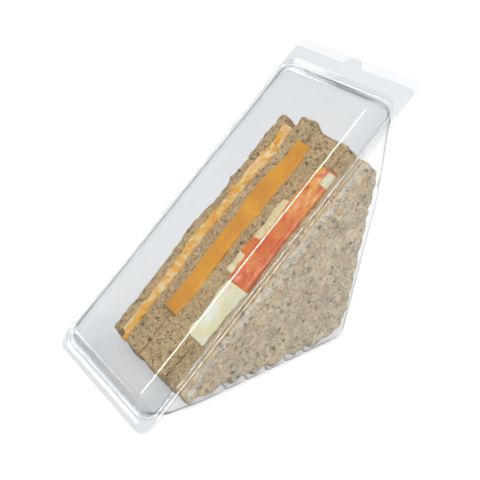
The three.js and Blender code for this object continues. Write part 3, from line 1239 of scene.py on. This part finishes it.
@dataclass
class Filling(SoftPiece):
    """A soft filling, pressed a little way over the bread beside it."""

    soft: int = 3
    ending: str = "_food"
    swell: float = 0.5
    swell_size: float = 13
    lump: float = 0.25
    lump_size: float = 3.5
    spread: float = 0.3
    proud: float = 0.4
    bulges: tuple[Bulge, ...] = ()
    cut_facing: tuple = (0.2, 0.8)
    side_facing: tuple = (-0.2, 0.6)
    warm_head: tuple = (108, 138)

    def shape(self, place: Vector, normal: Vector) -> Vector:
        """New place of a vertex.

        Args:
            place: its place in the solid, in metres.
            normal: its normal there.

        Returns:
            Its new place, in metres.
        """
        spot = place / MM
        up = self.press.window.place(place)[1]
        swell = self.swell * noise.noise(spot / self.swell_size)
        rise = swell + self.lump * noise.noise(spot / self.lump_size) + self.spread
        lift = self.proud * ramp(normal.dot(CUT_SIDE), *self.cut_facing)
        moved = place + (normal * rise + CUT_SIDE * lift) * MM
        for bulge in self.bulges:
            share = ramp(normal.x * bulge.side, *self.side_facing)
            moved.x += bulge.side * share * bulge.rise * math.exp(-((up - bulge.up) / bulge.reach) ** 2) * MM
        return self.press.warp(moved)

    def paints(self) -> dict[str, Callable[[Vector, Vector], float]]:
        """Paints how near the filling is to its head."""
        return {"head": lambda place, normal: ramp(self.press.window.place(place)[1], *self.warm_head)}


@dataclass
class CheeseShreds:
    """Grated cheese lying in the cream along the cut face."""

    press: Press
    count: int = 190
    length: float = 8.0
    width: float = 1.9
    rounding: float = 0.5
    left: float = -20.6
    right: float = -14.2
    toe: float = 24.0
    head: float = 154.0
    depth: float = 8.7
    toe_share: float = 0.25
    toe_shift: float = 2.2
    toe_length: float = 40
    lean: float = 32
    tip: float = 14
    widths: tuple = (0.7, 1.1)
    lengths: tuple = (0.5, 1.0)
    heights: tuple = (0.7, 1.0)
    seed: int = 5

    def build(self, finish: bpy.types.Material) -> bpy.types.Object:
        """Makes the shreds as one piece.

        Args:
            finish: their material.

        Returns:
            The piece.
        """
        chance = random.Random(self.seed)
        shape = bmesh.new()
        for index in range(self.count):
            up = self.toe + (self.head - self.toe) * (index + chance.random()) / self.count
            narrow = min(1.0, self.toe_share + (up - self.toe) / self.toe_length)
            middle = (self.left + self.right) / 2 + (1 - narrow) * self.toe_shift
            across = middle + (chance.random() - 0.5) * (self.right - self.left - self.width) * narrow
            centre = self.press.warp(self.press.window.point(across, up, -self.depth - chance.random()))
            turn = Matrix.Rotation(math.radians(45), 4, "X")
            lean = Matrix.Rotation(math.radians(chance.uniform(-self.lean, self.lean)), 4, "Z")
            tip = Matrix.Rotation(math.radians(chance.uniform(-self.tip, self.tip)), 4, "X")
            size = Matrix.Diagonal((self.width * chance.uniform(*self.widths),
                                    self.length * chance.uniform(*self.lengths),
                                    self.width * chance.uniform(*self.heights), 1))
            matrix = Matrix.Translation(centre) @ turn @ lean @ tip @ Matrix.Scale(MM, 4) @ size
            made = bmesh.ops.create_cube(shape, size=1.0, matrix=matrix)
            edges = {edge for vert in made["verts"] for edge in vert.link_edges}
            bmesh.ops.bevel(shape, geom=list(edges), offset=self.rounding * MM, affect="EDGES", segments=2,
                            profile=0.5, material=-1)
        piece = from_bmesh("cheese_shreds", shape)
        dress(piece, finish, Body.TRAY, Slot.SPREAD)
        return piece


def dress(piece: bpy.types.Object, finish: bpy.types.Material, body: Body, slot: Slot) -> None:
    """Gives a piece its material and its body.

    Args:
        piece: the piece.
        finish: its material.
        body: what it rides on.
        slot: the record's slot; not used.
    """
    piece.data.materials.clear()
    piece.data.materials.append(finish)
    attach(piece, body.value)


# Stage


@dataclass
class Studio:
    """Camera, lamps and a white table."""

    place: tuple = (0.25368, -0.20369, 0.23547)
    looks: tuple = (-0.67694, 0.56393, -0.47301)
    roll: float = 5.41
    lens: float = 57.70
    sensor: float = 36
    near: float = 0.01
    lamps_aim: tuple = (0, 0, 0.06)
    room: float = 1.0
    mirrored_room: float = 0.22
    table_radius: float = 4.0
    table_drop: float = 0.0003
    albedo: float = 0.38
    lift: float = 0.62

    def camera(self) -> None:
        """Stands the camera where the photograph was taken."""
        data = bpy.data.cameras.new("camera")
        data.lens = self.lens
        data.sensor_width = self.sensor
        data.clip_start = self.near
        camera = bpy.data.objects.new("camera", data)
        turn = Vector(self.looks).to_track_quat("-Z", "Y").to_matrix().to_4x4()
        roll = Matrix.Rotation(math.radians(self.roll), 4, "Z")
        camera.matrix_world = Matrix.Translation(self.place) @ turn @ roll
        bpy.context.scene.collection.objects.link(camera)
        bpy.context.scene.camera = camera

    def lamp(self, name: str, place: tuple, size: tuple, power: float, glint: bool = True) -> None:
        """Adds a soft area lamp.

        Args:
            name: its name.
            place: where it stands.
            size: its width and height.
            power: its power in watts.
            glint: True for a lamp that is only seen mirrored, False for one that only lights.
        """
        data = bpy.data.lights.new(name, "AREA")
        data.shape = "RECTANGLE"
        data.size, data.size_y = size
        data.energy = power
        lamp = bpy.data.objects.new(name, data)
        turn = (Vector(self.lamps_aim) - Vector(place)).to_track_quat("-Z", "Y").to_matrix().to_4x4()
        lamp.matrix_world = Matrix.Translation(place) @ turn
        lamp.visible_glossy = glint
        lamp.visible_diffuse = not glint
        bpy.context.scene.collection.objects.link(lamp)

    def world(self) -> None:
        """Surrounds the pack with white, seen at full strength and dimmer where it is mirrored."""
        graph = Graph("white_room", world=True)
        bpy.context.scene.world = graph.owner
        path = graph.node("ShaderNodeLightPath", {}, {})
        seen = Value(graph, path.outputs["Is Camera Ray"])
        mirrored = Value(graph, path.outputs["Is Glossy Ray"])
        strength = self.room + (1 - self.room) * seen + (self.mirrored_room - self.room) * mirrored
        graph.surface(graph.value("ShaderNodeBackground", {}, {"Color": WHITE, "Strength": strength}))

    def table(self) -> None:
        """Lays the white table under the pack."""
        shape = bmesh.new()
        matrix = Matrix.Translation((0, 0, -self.table_drop))
        bmesh.ops.create_circle(shape, cap_ends=True, segments=64, radius=self.table_radius, matrix=matrix)
        table = from_bmesh("table", shape)
        graph = Graph("white_table")
        grey = (self.albedo, self.albedo, self.albedo, 1)
        white = graph.value("ShaderNodeBsdfDiffuse", {}, {"Color": grey})
        seen = graph.value("ShaderNodeLightPath", {}, {}, "Is Camera Ray")
        lift = graph.value("ShaderNodeEmission", {}, {"Color": WHITE, "Strength": seen * self.lift})
        shader = graph.value("ShaderNodeAddShader", {}, {0: white, 1: lift})
        table.data.materials.append(graph.surface(shader))

    def build(self) -> None:
        """Sets the whole stage."""
        self.camera()
        self.world()
        self.lamp("key", (0.45, -0.65, 1.1), (0.9, 0.9), 15.0, glint=False)
        self.lamp("line_glint", (-0.06, -0.78, 0.90), (0.24, 1.0), 15.0)
        self.lamp("left_glint", (-1.10, -0.05, 0.21), (0.8, 0.12), 1.5)
        self.lamp("head_glint", (-0.75, 0.17, 0.80), (0.3, 0.14), 2.0)
        self.lamp("toe_glint", (-0.78, -0.84, 0.16), (0.4, 0.12), 1.2)
        self.table()
        bpy.context.scene.view_settings.view_transform = "Standard"
        bpy.context.scene.cycles.transparent_max_bounces = 32


# The pack


def report(piece: bpy.types.Object) -> None:
    """Logs a finished piece."""
    log.info("%s: %d faces", piece.name, len(piece.data.polygons))


def make_films(window: WindowFrame) -> None:
    """Makes the tray and the lid.

    Args:
        window: the window's plane.
    """
    film = ClearFilm().build()
    sheet = FilmSheet(window)
    for maker, node, body in ((TrayFilm(sheet), "tray", Body.TRAY), (LidFilm(sheet), "lid", Body.LID)):
        piece = maker.build()
        dress(piece, film, body, Slot.FILM)
        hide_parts(node)
        report(piece)


def make_bread(press: Press) -> None:
    """Makes the four slices.

    Args:
        press: how the sandwich is pressed.
    """
    crumb = Crumb().build()
    slices = (
        BreadSlice("bread_slice_1", press, skin_side=-1, seed=1.0),
        BreadSlice("bread_slice_2", press, seed=2.0),
        BreadSlice("bread_slice_3", press, seed=3.0),
        BreadSlice("bread_slice_4", press, skin_side=1, seed=4.0, against_film=1.0),
    )
    for maker in slices:
        report(maker.build(crumb))


def make_fillings(press: Press) -> None:
    """Makes the cheese, cream, egg and salmon.

    Args:
        press: how the sandwich is pressed.
    """
    spread = Mottled("creamy_cheese", (0.98, 0.76, 0.40), (0.97, 0.44, 0.03), 4, 0.5, 0.5).build()
    cream = Mottled("cream", (0.96, 0.86, 0.58), (0.90, 0.72, 0.36), 6, 0.5, 0.4).build()
    shred = Mottled("grated_cheese", (1.0, 0.60, 0.10), (1.0, 0.42, 0.015), 5, 0.45, 0.3).build()
    cheddar = Mottled("cheddar", (0.92, 0.41, 0.002), (0.78, 0.31, 0.001), 13, 0.5, 0.3, grain=0.9).build()
    egg = Mottled("boiled_egg", (0.98, 0.95, 0.80), (0.96, 0.85, 0.52), 9, 0.35, 0.15, coat=0.2).build()
    orange = Mottled("salmon_bits", (0.95, 0.26, 0.006), (0.80, 0.14, 0.003), 4, 0.4, 0.4, coat=0.2).build()
    salmon = SalmonFlesh().build()
    slab_bulges = (Bulge(-1, 126, 16, 2.0), Bulge(1, 118, 26, 1.0), Bulge(1, 62, 12, 1.6))
    egg_bulges = (Bulge(-1, 71, 7, 2.2), Bulge(-1, 51, 4, 1.6), Bulge(-1, 60, 4, -0.8))
    salmon_bulges = (Bulge(-1, 90, 9, 1.0), Bulge(-1, 112, 7, -1.2), Bulge(-1, 130, 8, 1.2))
    fillings = (
        (Filling("cheese_spread", press, Slot.SPREAD, swell=0.9, lump=0.6, proud=0.1), spread),
        (Filling("cheddar_slab", press, Slot.CHEDDAR, lump=0.1, bulges=slab_bulges), cheddar),
        (Filling("cream_filling", press, Slot.CREAM, swell=0.9, lump=0.7), cream),
        (Filling("salmon_scrap", press, Slot.SALMON, 0.4, soft=1, lump=0.5, spread=0.7, proud=0.9), orange),
        (Filling("egg_slices", press, Slot.EGG, soft=6, swell=1.2, lump=0.5, bulges=egg_bulges), egg),
        (Filling("salmon_slice", press, Slot.SALMON, soft=6, swell=1.1, lump=0.5, proud=0.7,
                 bulges=salmon_bulges), salmon),
        (Filling("egg_bit", press, Slot.EGG, 0.4, soft=1, lump=0.4, spread=0.4, proud=1.0), egg),
    )
    for maker, finish in fillings:
        report(maker.build(finish))
    report(CheeseShreds(press).build(shred))


def main() -> None:
    """Builds the dressed pack and its stage."""
    logging.basicConfig(level=logging.INFO, format="%(name)s: %(message)s")
    noise.seed_set(NOISE_SEED)
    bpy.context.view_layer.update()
    window = window_frame()
    Studio().build()
    make_films(window)
    press = Press(window)
    make_bread(press)
    make_fillings(press)


if __name__ == "__main__":
    main()
